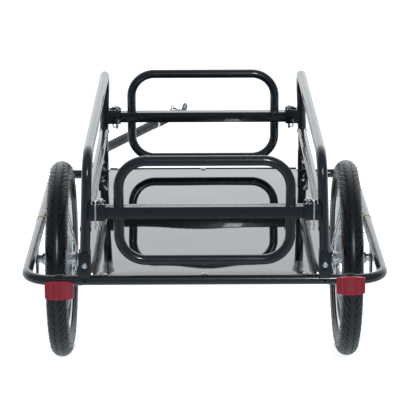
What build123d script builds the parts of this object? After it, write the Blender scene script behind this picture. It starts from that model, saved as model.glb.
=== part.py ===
from build123d import *
import math
import os

# Two-wheel cargo trailer for a bicycle.  Millimetres, +X to the right when seen from behind,
# +Y in the direction of travel, +Z up, ground at z = 0, origin under the middle of its box.

# ---------------------------------------------------------------- driving dimensions
# Base loop: one round tube that runs outside both wheels
frame_length = 747.0         # rear tube to front tube, between centres
loop_half_width = 331.5      # centre plane to a side tube's centre
loop_height = 262.0          # ground to tube centre
tube_radius = 9.5
tube_wall = 1.5
bend_radius = 50.0           # at every tube bend's centre line
drain_hole_radius = 2.0

# Inner rails and the cross tube under the deck
wheel_bay = 101.0            # side tube's centre to inner rail's centre

# Deck, a sheet that lies on the loop and the inner rails
deck_edge_inset = 1.0        # side edge, inside the rail's centre line
deck_thickness = 1.2
deck_overhang_rear = 3.0
deck_overhang_front = 8.0
deck_notch_gap = 3.0         # round each hinge bracket
deck_bolt_inset = 44.5       # corner bolts, in from the rail's centre line
deck_bolt_radius = 2.5
deck_bolt_head_radius = 5.5
deck_bolt_head_height = 3.0
deck_bolt_length = 8.0
bolt_hole_clearance = 0.25

# Wheels, 16 x 1.75 tyre on a 305 mm rim
wheel_radius = 197.5
axle_from_rear = 333.0
tyre_section_radius = 22.0
tyre_wall = 3.5
tyre_bead_gap = 16.0
inner_tube_gap = 0.5
inner_tube_wall = 1.2
rim_flange_drop = 39.5       # rim's edge, in from the tread
rim_depth = 15.0
rim_width = 24.0
rim_wall = 2.0
hub_length = 78.0
hub_barrel_radius = 13.0
hub_flange_radius = 23.0
hub_flange_offset = 28.0
hub_flange_thickness = 3.0
hub_wall = 3.0
spoke_count = 20
spoke_radius = 1.0
spoke_sweep_angle = 34.0     # how far a spoke leans round the hub
nipple_radius = 2.0
nipple_length = 10.0
spoke_end_gap = 0.7
valve_radius = 3.0
valve_length = 26.0
valve_gap_index = 4.5        # counted in spokes, a half is between two
wheel_reflector_length = 58.0
wheel_reflector_width = 19.0
wheel_reflector_thickness = 6.0
wheel_reflector_radius = 97.0

# Axles and dropout plates
axle_radius = 4.75
cone_radius = 8.0
cone_seat = 8.0              # length of each cone inside the hub
running_clearance = 0.05
dropout_offset = 5.5         # plate centre from the tube centre it hangs on
dropout_thickness = 4.0
dropout_width = 40.0
dropout_tip_drop = 37.5      # plate's tip below the axle
axle_nut_radius = 8.7
axle_nut_height = 8.0
axle_end_stickout = 2.5

# Side frames: an inverted U of tube with one mid rail, hinged on four bolts
hinge_inset = 9.5            # in from the inner rail's centre
hinge_rise = 21.5            # above the base loop's top
side_lean = 2.3              # degrees, tops lean inwards
side_top_rail = 202.7        # hinge to top rail centre, along the post
side_mid_rail = 67.0         # hinge to mid rail centre, along the post
post_tail = 10.0             # post below the hinge
hinge_bolt_radius = 3.0
hinge_head_radius = 5.2
hinge_head_height = 4.0
hinge_nut_height = 5.0

# Hinge brackets, a U of plate on the base loop
bracket_width = 22.0
bracket_saddle = 2.5         # reach below the base loop's top
bracket_rise = 25.0          # reach above the hinge
bracket_plate = 2.5
bracket_web = 5.0
post_side_gap = 0.5

# Gates: crossbar with a U of tube above and below
crossbar_size = 22.0
crossbar_wall = 1.6
crossbar_rise = 89.2         # its bottom face, above the hinge
crossbar_end_gap = 2.5       # between its caps and the cradles' end walls
gate_post_inset = 32.5       # in from the lock pins
gate_upper_rise = 84.3       # top tube's centre, above the crossbar
gate_lower_drop = 81.6       # bottom tube's centre, below the crossbar

# Cradles on the posts that hold the crossbar's ends
cradle_depth = 24.0          # end wall to the open end
cradle_post_gap = 6.5        # end wall from the post's side at the hinge
cradle_wall = 2.5
cradle_floor = 2.5
cradle_floor_gap = 0.2
cradle_side_gap = 0.5
cradle_rise = 5.8            # above the crossbar
cradle_slot_play = 2.4       # how far the pin's slot in the floor runs towards the post

# Lock pins and their wire bails
pin_inset = 11.5             # in from the crossbar's end
pin_radius = 3.0
pin_hole_clearance = 0.3
pin_reach = 16.2             # tip below the crossbar
pin_tip_taper = 1.2
pin_head_radius = 5.5
pin_collar_height = 3.0
pin_head_height = 13.5
bail_wire_radius = 1.5
bail_pivot_height = 9.6      # above the crossbar's top face
bail_side = 9.0
bail_stub = 6.5
bail_reach = 19.5
bail_length = 42.0
bail_bend = 4.0
bail_eye_radius = 4.6
cap_thickness = 1.5

# Rear reflectors on clamps round the rear tube, and the amber bands on the side tubes
reflector_inset = 63.0       # in from the side tube's centre
reflector_width = 53.0
reflector_height = 34.5
reflector_depth = 9.0
reflector_facet_step = 2.2
reflector_drop_left = 15.5
reflector_drop_right = 8.0
clamp_thickness = 1.6
clamp_width = 14.0
amber_band_width = 13.0
amber_band_thickness = 0.6
amber_band_from_rear = 389.5

# Tow arm: round tube on a vertical bolt at the front left corner
arm_offset = 1.5             # outwards from the left inner rail
arm_radius = 11.0
arm_wall = 1.8
arm_pivot_ahead = 36.0       # of the front tube's centre
arm_straight = 189.0         # pivot to the bend's corner
arm_bend_angle = 24.9
arm_bend_radius = 110.0
arm_second_leg = 277.7
arm_tail = 12.0
arm_bolt_radius = 4.0
arm_bolt_head_radius = 7.5
arm_bolt_head_height = 5.0
tow_bracket_half_width = 17.0
tow_bracket_plate = 3.0
tow_bracket_gap = 0.5
tow_bracket_nose = 15.0
tow_plate_gap = 3.3          # between the bracket's back and the front tube
tow_spacer_height = 13.0

# Hitch at the arm's end, in its own frame: forward along the arm, sideways, up
collar_radius = 12.6
collar_length = 10.0
plug_length = 30.0
plug_clearance = 0.1
yoke_radius = 11.0
yoke_block = 91.0            # ribbed block ahead of the arm's end
yoke_ribs = 7
yoke_rib_pitch = 11.0
yoke_rib_width = 6.0
yoke_rib_radius = 12.4
yoke_ear_root = 9.0          # ears start this far inside the block's front
yoke_ear_thickness = 5.0
yoke_ear_inner = 6.2
swivel_pin_gap = 10.0        # block's front to the swivel pin
swivel_pin_radius = 3.5
swivel_pin_head = 5.5
swivel_pin_head_height = 2.0
swivel_radius = 8.5
swivel_gap = 0.5
jaw_block_gap = 12.0         # swivel pin to the jaw's block
jaw_block_length = 9.0
jaw_half_width = 16.0
jaw_half_height = 9.0
jaw_ear_thickness = 4.5
hitch_pin_gap = 23.0         # start of the jaw's block to the hitch pin
hitch_pin_radius = 4.0
hitch_pin_head_radius = 6.5
hitch_pin_head_height = 3.0
hitch_pin_stickout = 6.0
ring_radius = 7.5
ring_wire_radius = 1.2
ring_hole_radius = 2.2
coupler_thickness = 4.0
coupler_barrel_radius = 6.5
coupler_end_radius = 10.0
coupler_offset = 9.0         # plate's middle, right of the arm's line
coupler_reach = 15.0         # hitch pin to axle bore, forwards
coupler_rise = 10.0          # hitch pin to axle bore, upwards
coupler_bore_radius = 5.0
coupler_gap = 0.5

# ---------------------------------------------------------------- derived places
loop_top = loop_height + tube_radius
rail_half_width = loop_half_width - wheel_bay
deck_half_width = rail_half_width - deck_edge_inset
deck_bottom = loop_top
deck_top = deck_bottom + deck_thickness
wheel_half_track = (rail_half_width + loop_half_width) / 2 + dropout_offset
axle_height = wheel_radius
rim_flange_radius = wheel_radius - rim_flange_drop
rim_inner_radius = rim_flange_radius - rim_depth
hinge_half_width = rail_half_width - hinge_inset
hinge_height = loop_top + hinge_rise
bracket_bottom = loop_top - bracket_saddle
bracket_top = hinge_height + bracket_rise
crossbar_bottom = hinge_height + crossbar_rise
crossbar_top = crossbar_bottom + crossbar_size
cradle_end_wall = hinge_half_width - tube_radius - cradle_post_gap
cradle_inner = cradle_end_wall - cradle_depth
cradle_top = crossbar_top + cradle_rise
crossbar_half_length = cradle_end_wall - crossbar_end_gap - cap_thickness
pin_half_spacing = crossbar_half_length - pin_inset
pin_tip = crossbar_bottom - pin_reach
gate_half_width = pin_half_spacing - gate_post_inset
gate_top = crossbar_top + gate_upper_rise
gate_bottom = crossbar_bottom - gate_lower_drop
reflector_half_spacing = loop_half_width - reflector_inset
arm_side = -rail_half_width - arm_offset
tow_plate_back = tube_radius + tow_plate_gap
bend_angle = math.radians(arm_bend_angle)
hitch_side = arm_side + arm_second_leg * math.sin(bend_angle)
hitch_forward = arm_pivot_ahead + arm_straight + arm_second_leg * math.cos(bend_angle)
swivel_pin_ahead = yoke_block + swivel_pin_gap
jaw_block_start = swivel_pin_ahead + jaw_block_gap
hitch_pin_ahead = jaw_block_start + hitch_pin_gap
coupler_ahead = hitch_pin_ahead + coupler_reach + coupler_end_radius
reach_ahead = (hitch_forward + coupler_ahead * math.cos(bend_angle)
               - (coupler_offset - coupler_thickness / 2) * math.sin(bend_angle))
reach_behind = tube_radius + clamp_thickness + reflector_depth
y_rear = (reach_behind - frame_length - reach_ahead) / 2
y_front = y_rear + frame_length
y_middle = (y_rear + y_front) / 2
y_axle = y_rear + axle_from_rear
lean = math.radians(side_lean)
hitch_frame = Plane(
    origin=(hitch_side, y_front + hitch_forward, loop_height),
    x_dir=(math.cos(bend_angle), -math.sin(bend_angle), 0),
    z_dir=(0, 0, 1),
)


# ---------------------------------------------------------------- helpers
def save(name, *solids):
    """Write one node; several loose pieces of one kind share a node."""
    shape = solids[0] if len(solids) == 1 else Compound(children=list(solids))
    export_step(shape, f"parts/{name}.step")


def box(x0, x1, y0, y1, z0, z1):
    centre = Pos((x0 + x1) / 2, (y0 + y1) / 2, (z0 + z1) / 2)
    return centre * Box(abs(x1 - x0), abs(y1 - y0), abs(z1 - z0))


def rod(start, end, radius):
    """Round bar between two points."""
    start, end = Vector(*start), Vector(*end)
    middle = (start + end) * 0.5
    return Plane(origin=middle, z_dir=end - start).location * Cylinder(radius, (end - start).length)


def bent_rod(path, radius):
    return sweep(Plane(origin=path @ 0, z_dir=path % 0) * Circle(radius), path=path)


def bent_tube(path, radius, wall):
    return bent_rod(path, radius) - bent_rod(path, radius - wall)


def mirror_x(shape):
    return mirror(shape, about=Plane.YZ)


def mirror_y(shape):
    """The front end's copy of a piece at the rear end."""
    return mirror(shape, about=Plane(origin=(0, y_middle, 0), z_dir=(0, 1, 0)))


def hexagon_nut(radius, height, bore):
    return extrude(RegularPolygon(radius, 6) - Circle(bore), height)


def domed_head(radius, height):
    """Low dome whose flat side lies on z = 0."""
    sphere_radius = (radius ** 2 + height ** 2) / (2 * height)
    ball = Pos(0, 0, height - sphere_radius) * Sphere(sphere_radius)
    return ball & Pos(0, 0, height / 2) * Cylinder(radius + 1, height)


# ---------------------------------------------------------------- base frame
def loop_path():
    w = loop_half_width
    corners = [(-w, y_rear, loop_height), (w, y_rear, loop_height),
               (w, y_front, loop_height), (-w, y_front, loop_height)]
    return FilletPolyline(corners, radius=bend_radius, close=True)


def loop_side_outline(y, radius=tube_radius):
    """Solid bar along the rear or front tube's straight stretch, to cope other pieces against."""
    reach = loop_half_width - bend_radius
    return rod((-reach, y, loop_height), (reach, y, loop_height), radius)


def deck_bolt_places():
    side = rail_half_width - deck_bolt_inset
    return [(x, y) for y in (y_rear, y_front) for x in (-side, 0, side)]


def base_loop():
    loop = bent_tube(loop_path(), tube_radius, tube_wall)
    for x in (-hinge_half_width, hinge_half_width):
        loop -= rod((x, y_rear - tube_radius - 1, loop_height), (x, y_rear, loop_height), drain_hole_radius)
    for x, y in deck_bolt_places():
        loop -= rod((x, y, loop_height), (x, y, deck_top), deck_bolt_radius + bolt_hole_clearance)
    return loop


def inner_rail():
    start = (rail_half_width, y_rear, loop_height)
    end = (rail_half_width, y_front, loop_height)
    rail = rod(start, end, tube_radius) - rod(start, end, tube_radius - tube_wall)
    return rail - loop_side_outline(y_rear) - loop_side_outline(y_front)


def cross_tube():
    start = (-rail_half_width, y_middle, loop_height)
    end = (rail_half_width, y_middle, loop_height)
    tube = rod(start, end, tube_radius) - rod(start, end, tube_radius - tube_wall)
    for x in (-rail_half_width, rail_half_width):
        tube -= rod((x, y_rear, loop_height), (x, y_front, loop_height), tube_radius)
    return tube


def deck():
    """Sheet on top of the tubes, notched at its corners round the hinge brackets."""
    rear_edge = y_rear - deck_overhang_rear
    front_edge = y_front + deck_overhang_front
    sheet = box(-deck_half_width, deck_half_width, rear_edge, front_edge, deck_bottom, deck_top)
    notch_side = hinge_half_width - bracket_width / 2 - deck_notch_gap
    notch_reach = tube_radius + post_side_gap + bracket_plate + deck_notch_gap
    for x0, x1 in ((-deck_half_width - 1, -notch_side), (notch_side, deck_half_width + 1)):
        sheet -= box(x0, x1, rear_edge - 1, y_rear + notch_reach, deck_bottom - 1, deck_top + 1)
        sheet -= box(x0, x1, y_front - notch_reach, front_edge + 1, deck_bottom - 1, deck_top + 1)
    for x, y in deck_bolt_places():
        sheet -= rod((x, y, deck_bottom - 1), (x, y, deck_top + 1), deck_bolt_radius + bolt_hole_clearance)
    return sheet


def deck_bolts():
    bolt = domed_head(deck_bolt_head_radius, deck_bolt_head_height)
    bolt += Pos(0, 0, -deck_bolt_length / 2) * Cylinder(deck_bolt_radius, deck_bolt_length)
    return [Pos(x, y, deck_top) * bolt for x, y in deck_bolt_places()]


def dropout(tube_x):
    """Plate under one longitudinal tube, offset outwards from the tube's centre."""
    x0 = tube_x + dropout_offset - dropout_thickness / 2
    x1 = x0 + dropout_thickness
    tip_radius = dropout_width / 2
    tip = axle_height - dropout_tip_drop + tip_radius
    plate = box(x0, x1, y_axle - tip_radius, y_axle + tip_radius, tip, loop_height)
    plate += rod((x0, y_axle, tip), (x1, y_axle, tip), tip_radius)
    plate -= rod((tube_x, y_rear, loop_height), (tube_x, y_front, loop_height), tube_radius)
    hole = axle_radius + bolt_hole_clearance
    return plate - rod((x0 - 1, y_axle, axle_height), (x1 + 1, y_axle, axle_height), hole)


def axle():
    """Threaded axle with its two cones, one piece once it is set up."""
    inner_plate = rail_half_width + dropout_offset + dropout_thickness / 2
    outer_plate = loop_half_width + dropout_offset - dropout_thickness / 2
    inner_end = inner_plate - dropout_thickness - axle_nut_height - axle_end_stickout
    outer_end = outer_plate + dropout_thickness + axle_nut_height + axle_end_stickout
    shaft = rod((inner_end, y_axle, axle_height), (outer_end, y_axle, axle_height), axle_radius)
    hub_inner = wheel_half_track - hub_length / 2
    hub_outer = wheel_half_track + hub_length / 2
    for start, end in ((inner_plate, hub_inner + cone_seat), (hub_outer - cone_seat, outer_plate)):
        shaft += rod((start, y_axle, axle_height), (end, y_axle, axle_height), cone_radius)
    return shaft


def axle_nuts():
    inner_face = rail_half_width + dropout_offset - dropout_thickness / 2
    outer_face = loop_half_width + dropout_offset + dropout_thickness / 2
    nut = Rot(0, 90, 0) * hexagon_nut(axle_nut_radius, axle_nut_height, axle_radius)
    return [Pos(outer_face, y_axle, axle_height) * nut,
            Pos(inner_face - axle_nut_height, y_axle, axle_height) * nut]


# ---------------------------------------------------------------- wheels
def ring_about_axle(profile):
    """Revolve a profile drawn with X along the axle and Y as radius, at the right wheel."""
    ring = revolve(profile, axis=Axis.X)
    return Pos(wheel_half_track, y_axle, axle_height) * ring


def rim_profile():
    half = rim_width / 2
    section = Pos(0, (rim_inner_radius + rim_flange_radius) / 2) * Rectangle(
        rim_width, rim_flange_radius - rim_inner_radius)
    well = Pos(0, (rim_inner_radius + rim_wall + rim_flange_radius) / 2 + 1) * Rectangle(
        rim_width - 2 * rim_wall, rim_flange_radius - rim_inner_radius - rim_wall + 2)
    section -= well
    inner = section.vertices().filter_by(lambda v: abs(v.Y - rim_inner_radius) < 0.01)
    corners = inner.filter_by(lambda v: abs(v.X) > half / 2)
    return fillet(corners, radius=rim_wall)


def rim_outline():
    return Pos(0, (rim_inner_radius + rim_flange_radius) / 2) * Rectangle(
        rim_width, rim_flange_radius - rim_inner_radius)


def tyre_profile():
    centre = wheel_radius - tyre_section_radius
    section = Pos(0, centre) * (Circle(tyre_section_radius) - Circle(tyre_section_radius - tyre_wall))
    bead_gap = Pos(0, centre - tyre_section_radius) * Rectangle(tyre_bead_gap, tyre_section_radius)
    return section - bead_gap - rim_outline()


def inner_tube_profile():
    centre = wheel_radius - tyre_section_radius
    outer = tyre_section_radius - tyre_wall - inner_tube_gap
    return Pos(0, centre) * (Circle(outer) - Circle(outer - inner_tube_wall))


def hub_profile():
    half = hub_length / 2
    section = Pos(0, hub_barrel_radius / 2) * Rectangle(hub_length, hub_barrel_radius)
    for side in (-1, 1):
        flange = Rectangle(hub_flange_thickness, hub_flange_radius)
        section += Pos(side * hub_flange_offset, hub_flange_radius / 2) * flange
    bore = cone_radius + running_clearance
    section -= Pos(0, bore / 2) * Rectangle(hub_length + 2, bore)
    chamber = hub_barrel_radius - hub_wall
    return section - Pos(0, chamber / 2) * Rectangle(2 * (half - cone_seat), chamber)


def spokes():
    """Spokes lean alternately forwards and backwards, from alternate flanges."""
    result = []
    for index in range(spoke_count):
        side = 1 if index % 2 == 0 else -1
        lean_way = 1 if (index // 2) % 2 == 0 else -1
        rim_angle = 2 * math.pi * index / spoke_count
        hub_angle = rim_angle + lean_way * math.radians(spoke_sweep_angle)
        start_radius = hub_flange_radius + spoke_radius + spoke_end_gap
        end_radius = rim_inner_radius - spoke_end_gap
        start = Vector(side * hub_flange_offset, start_radius * math.cos(hub_angle),
                       start_radius * math.sin(hub_angle))
        end = Vector(0, end_radius * math.cos(rim_angle), end_radius * math.sin(rim_angle))
        along = (start - end).normalized()
        nipple_end = end + along * nipple_length
        spoke = rod(tuple(start), tuple(end), spoke_radius)
        spoke += rod(tuple(nipple_end), tuple(end), nipple_radius)
        result.append(Pos(wheel_half_track, y_axle, axle_height) * spoke)
    return result


def wheel_reflectors():
    """Two amber reflectors clipped between the two rows of spokes."""
    result = []
    for angle in (8.0, 188.0):
        body = Box(wheel_reflector_thickness, wheel_reflector_width, wheel_reflector_length)
        body = fillet(body.edges().filter_by(Axis.X), wheel_reflector_width / 4)
        placed = Rot(angle, 0, 0) * Pos(0, wheel_reflector_radius, 0) * body
        result.append(Pos(wheel_half_track, y_axle, axle_height) * placed)
    return result


def valve_rod(inner, outer, radius):
    """Bar along a wheel's radius, midway between two spokes."""
    angle = 2 * math.pi * valve_gap_index / spoke_count
    ends = [(wheel_half_track, y_axle + r * math.cos(angle), axle_height + r * math.sin(angle))
            for r in (inner, outer)]
    return rod(ends[0], ends[1], radius)


def rim():
    hole = valve_radius + bolt_hole_clearance
    return ring_about_axle(rim_profile()) - valve_rod(rim_inner_radius - 2, rim_flange_radius, hole)


def inner_tube():
    """Inner tube with its valve, which comes out through the rim."""
    centre = wheel_radius - tyre_section_radius
    wall_middle = centre - tyre_section_radius + tyre_wall + inner_tube_gap + inner_tube_wall / 2
    stem = valve_rod(rim_inner_radius - valve_length, wall_middle, valve_radius)
    return ring_about_axle(inner_tube_profile()) + stem


# ---------------------------------------------------------------- side frames
def lean_side(shape):
    """Place a piece drawn upright with its hinge at the origin on the right hinge axis."""
    return Pos(hinge_half_width, y_rear, hinge_height) * Rot(0, -side_lean, 0) * shape


def post_outline(y=0.0):
    return rod((0, y, -post_tail), (0, y, side_top_rail), tube_radius)


def side_hoop():
    path = FilletPolyline([(0, 0, -post_tail), (0, 0, side_top_rail), (0, frame_length, side_top_rail),
                           (0, frame_length, -post_tail)], radius=bend_radius)
    hoop = bent_tube(path, tube_radius, tube_wall)
    for y in (0, frame_length):
        reach = tube_radius + 1
        hoop -= rod((0, y - reach, 0), (0, y + reach, 0), hinge_bolt_radius + running_clearance)
    return lean_side(hoop)


def mid_rail():
    ends = [(0, 0, side_mid_rail), (0, frame_length, side_mid_rail)]
    rail = rod(ends[0], ends[1], tube_radius) - rod(ends[0], ends[1], tube_radius - tube_wall)
    return lean_side(rail - post_outline() - post_outline(frame_length))


def hinge_bracket():
    plate_in = tube_radius + post_side_gap
    plate_out = plate_in + bracket_plate
    x0 = hinge_half_width - bracket_width / 2
    x1 = hinge_half_width + bracket_width / 2
    bracket = box(x0, x1, -plate_out, plate_out, bracket_bottom, bracket_top)
    bracket -= box(x0 - 1, x1 + 1, -plate_in, plate_in, bracket_bottom + bracket_web, bracket_top + 1)
    rail = rod((rail_half_width, y_rear, loop_height), (rail_half_width, y_middle, loop_height), tube_radius)
    bracket = Pos(0, y_rear, 0) * bracket - loop_side_outline(y_rear) - rail
    hole = hinge_bolt_radius + bolt_hole_clearance
    return bracket - rod((hinge_half_width, y_rear - plate_out - 1, hinge_height),
                         (hinge_half_width, y_rear + plate_out + 1, hinge_height), hole)


def hinge_bolt():
    """Bolt with a domed head on the outside and a nut inside."""
    half = tube_radius + post_side_gap + bracket_plate
    bolt = rod((0, -half, 0), (0, half + hinge_nut_height, 0), hinge_bolt_radius)
    bolt += Pos(0, -half, 0) * Rot(90, 0, 0) * domed_head(hinge_head_radius, hinge_head_height)
    nut = Rot(-90, 0, 0) * hexagon_nut(hinge_head_radius, hinge_nut_height, hinge_bolt_radius - 0.5)
    return Pos(hinge_half_width, y_rear, hinge_height) * (bolt + Pos(0, half, 0) * nut)


def cradle():
    """U of plate, open at the top and towards the crossbar, welded to the post's inner side."""
    inside = crossbar_size / 2 + cradle_side_gap
    outside = inside + cradle_wall
    bottom = crossbar_bottom - cradle_floor_gap - cradle_floor
    block = box(cradle_inner, hinge_half_width, -outside, outside, bottom, cradle_top)
    block -= box(cradle_inner - 1, cradle_end_wall, -inside, inside, bottom + cradle_floor, cradle_top + 1)
    slot = pin_radius + pin_hole_clearance
    for x in (pin_half_spacing, pin_half_spacing + cradle_slot_play):
        block -= rod((x, 0, bottom - 1), (x, 0, bottom + cradle_floor + 1), slot)
    block -= box(pin_half_spacing, pin_half_spacing + cradle_slot_play, -slot, slot,
                 bottom - 1, bottom + cradle_floor + 0.5)
    post = lean_side(post_outline())
    beyond = box(hinge_half_width - tube_radius, hinge_half_width + 99, y_rear - 99, y_rear + 99, 0, 999)
    return Pos(0, y_rear, 0) * block - post - beyond


# ---------------------------------------------------------------- gates
def crossbar():
    half = crossbar_size / 2
    inner = half - crossbar_wall
    bar = box(-crossbar_half_length, crossbar_half_length, -half, half, crossbar_bottom, crossbar_top)
    bar -= box(-crossbar_half_length - 1, crossbar_half_length + 1, -inner, inner,
               crossbar_bottom + crossbar_wall, crossbar_top - crossbar_wall)
    for x in (-pin_half_spacing, pin_half_spacing):
        bar -= rod((x, 0, crossbar_bottom - 1), (x, 0, crossbar_top + 1), pin_radius + running_clearance)
    return Pos(0, y_rear, 0) * bar


def gate_hoop(z_start, z_far):
    w = gate_half_width
    path = FilletPolyline([(-w, y_rear, z_start), (-w, y_rear, z_far), (w, y_rear, z_far),
                           (w, y_rear, z_start)], radius=bend_radius)
    return bent_tube(path, tube_radius, tube_wall)


def crossbar_caps():
    """Push-in plastic caps in the crossbar's open ends."""
    inner = crossbar_size / 2 - crossbar_wall
    middle = (crossbar_bottom + crossbar_top) / 2
    caps = []
    for side in (-1, 1):
        end = side * crossbar_half_length
        x0 = end + side * cap_thickness
        x1 = side * (pin_half_spacing + pin_radius + 1)
        plug = box(end, x1, -inner, inner, middle - inner, middle + inner)
        flange = box(x0, end, -inner, inner, middle - inner, middle + inner)
        caps.append(Pos(0, y_rear, 0) * (plug + flange))
    return caps


def lock_pin():
    head_base = crossbar_top + cradle_floor_gap
    body = rod((0, 0, pin_tip), (0, 0, head_base), pin_radius)
    body = chamfer(body.edges().sort_by(Axis.Z)[0], pin_tip_taper)
    body += rod((0, 0, head_base), (0, 0, head_base + pin_collar_height), pin_head_radius)
    neck_top = head_base + pin_head_height
    head = rod((0, 0, head_base + pin_collar_height), (0, 0, neck_top), pin_head_radius - 1)
    body += chamfer(head.edges().sort_by(Axis.Z)[-1], 1.5)
    pivot = crossbar_top + bail_pivot_height
    reach = pin_head_radius + 2
    body -= rod((-reach, 0, pivot), (reach, 0, pivot), bail_wire_radius + running_clearance)
    return Pos(pin_half_spacing, y_rear, 0) * body


def bail():
    """Spring wire that turns in the pin's head and drops in front of the cradle."""
    z = crossbar_top + bail_pivot_height
    path = FilletPolyline([(-bail_stub, 0, z), (bail_side, 0, z), (bail_side, -bail_reach, z),
                           (bail_side, -bail_reach, z - bail_length)], radius=bail_bend)
    wire = bent_rod(path, bail_wire_radius)
    eye = Rot(90, 0, 0) * Torus(bail_eye_radius, bail_wire_radius)
    drop = z - bail_length - bail_eye_radius * math.sin(math.radians(40))
    inward = bail_side - bail_eye_radius * math.cos(math.radians(40))
    wire += Pos(inward, -bail_reach, drop) * eye
    return Pos(pin_half_spacing, y_rear, 0) * wire


# ---------------------------------------------------------------- reflectors and bands
def rear_reflector(x, drop):
    """Five upright facets, stepped back towards both sides."""
    half = reflector_width / 2
    facet = reflector_width / 5
    back = y_rear - tube_radius - clamp_thickness
    front = back - reflector_depth
    points = [(-half, back), (-half, front + 2 * reflector_facet_step),
              (-half + facet, front + reflector_facet_step), (-half + 2 * facet, front),
              (half - 2 * facet, front), (half - facet, front + reflector_facet_step),
              (half, front + 2 * reflector_facet_step), (half, back)]
    outline = make_face(Polyline(*points, close=True))
    bottom = loop_height - drop - reflector_height / 2
    return Pos(x, 0, bottom) * extrude(outline, reflector_height)


def reflector_clamp(x):
    ring = rod((x - clamp_width / 2, y_rear, loop_height), (x + clamp_width / 2, y_rear, loop_height),
               tube_radius + clamp_thickness)
    bore = rod((x - clamp_width, y_rear, loop_height), (x + clamp_width, y_rear, loop_height), tube_radius)
    return ring - bore


def amber_band():
    y0 = y_rear + amber_band_from_rear - amber_band_width / 2
    ends = [(loop_half_width, y0, loop_height), (loop_half_width, y0 + amber_band_width, loop_height)]
    return rod(ends[0], ends[1], tube_radius + amber_band_thickness) - rod(ends[0], ends[1], tube_radius)


# ---------------------------------------------------------------- tow arm and hitch
def tow_bracket():
    half = tow_bracket_half_width
    inside = arm_radius + tow_bracket_gap
    outside = inside + tow_bracket_plate
    pivot = y_front + arm_pivot_ahead
    back = y_front + tow_plate_back
    nose = pivot + tow_bracket_nose
    block = box(arm_side - half, arm_side + half, back, nose, loop_height - outside, loop_height + outside)
    block = fillet(block.edges().filter_by(Axis.Z).group_by(Axis.Y)[-1], half / 2)
    block -= box(arm_side - half - 1, arm_side + half + 1, back + tow_bracket_plate, nose + 1,
                 loop_height - inside, loop_height + inside)
    spacer = tow_spacer_height / 2
    block += box(arm_side - half, arm_side + half, y_front, back, loop_height - spacer, loop_height + spacer)
    block -= loop_side_outline(y_front)
    reach = outside + 1
    return block - rod((arm_side, pivot, loop_height - reach), (arm_side, pivot, loop_height + reach),
                       arm_bolt_radius + bolt_hole_clearance)


def arm_bolt():
    half = arm_radius + tow_bracket_gap + tow_bracket_plate
    bolt = rod((0, 0, -half - arm_bolt_head_height), (0, 0, half), arm_bolt_radius)
    bolt += Pos(0, 0, half) * domed_head(arm_bolt_head_radius, arm_bolt_head_height)
    nut = hexagon_nut(arm_bolt_head_radius, arm_bolt_head_height, arm_bolt_radius - 0.5)
    bolt += Pos(0, 0, -half - arm_bolt_head_height) * nut
    return Pos(arm_side, y_front + arm_pivot_ahead, loop_height) * bolt


def arm_tube():
    pivot = y_front + arm_pivot_ahead
    path = FilletPolyline([(arm_side, pivot - arm_tail, loop_height),
                           (arm_side, pivot + arm_straight, loop_height),
                           (hitch_side, y_front + hitch_forward, loop_height)], radius=arm_bend_radius)
    tube = bent_tube(path, arm_radius, arm_wall)
    reach = arm_radius + 1
    return tube - rod((arm_side, pivot, loop_height - reach), (arm_side, pivot, loop_height + reach),
                      arm_bolt_radius + running_clearance)


def at_hitch(shape):
    return hitch_frame.location * shape


def arm_collar():
    ring = rod((0, -collar_length, 0), (0, 0, 0), collar_radius) - rod((0, -collar_length - 1, 0), (0, 1, 0),
                                                                      arm_radius)
    return at_hitch(ring)


def arm_yoke():
    """Ribbed block plugged into the arm, with two ears above and below the swivel."""
    plug_radius = arm_radius - arm_wall - plug_clearance
    yoke = rod((0, -plug_length, 0), (0, 0, 0), plug_radius)
    yoke += rod((0, 0, 0), (0, yoke_block, 0), yoke_radius)
    for index in range(yoke_ribs):
        start = (index + 0.5) * yoke_rib_pitch
        yoke += rod((0, start, 0), (0, start + yoke_rib_width, 0), yoke_rib_radius)
    for side in (-1, 1):
        z0 = side * yoke_ear_inner
        z1 = side * (yoke_ear_inner + yoke_ear_thickness)
        ear = box(-swivel_radius, swivel_radius, yoke_block - yoke_ear_root, swivel_pin_ahead,
                  min(z0, z1), max(z0, z1))
        ear += rod((0, swivel_pin_ahead, z0), (0, swivel_pin_ahead, z1), swivel_radius)
        yoke += ear
    hole = swivel_pin_radius + bolt_hole_clearance
    top = yoke_ear_inner + yoke_ear_thickness + 1
    return at_hitch(yoke - rod((0, swivel_pin_ahead, -top), (0, swivel_pin_ahead, top), hole))


def swivel_pin():
    top = yoke_ear_inner + yoke_ear_thickness
    pin = rod((0, swivel_pin_ahead, -top), (0, swivel_pin_ahead, top), swivel_pin_radius)
    for side in (-1, 1):
        pin += rod((0, swivel_pin_ahead, side * top),
                   (0, swivel_pin_ahead, side * (top + swivel_pin_head_height)), swivel_pin_head)
    return at_hitch(pin)


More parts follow.
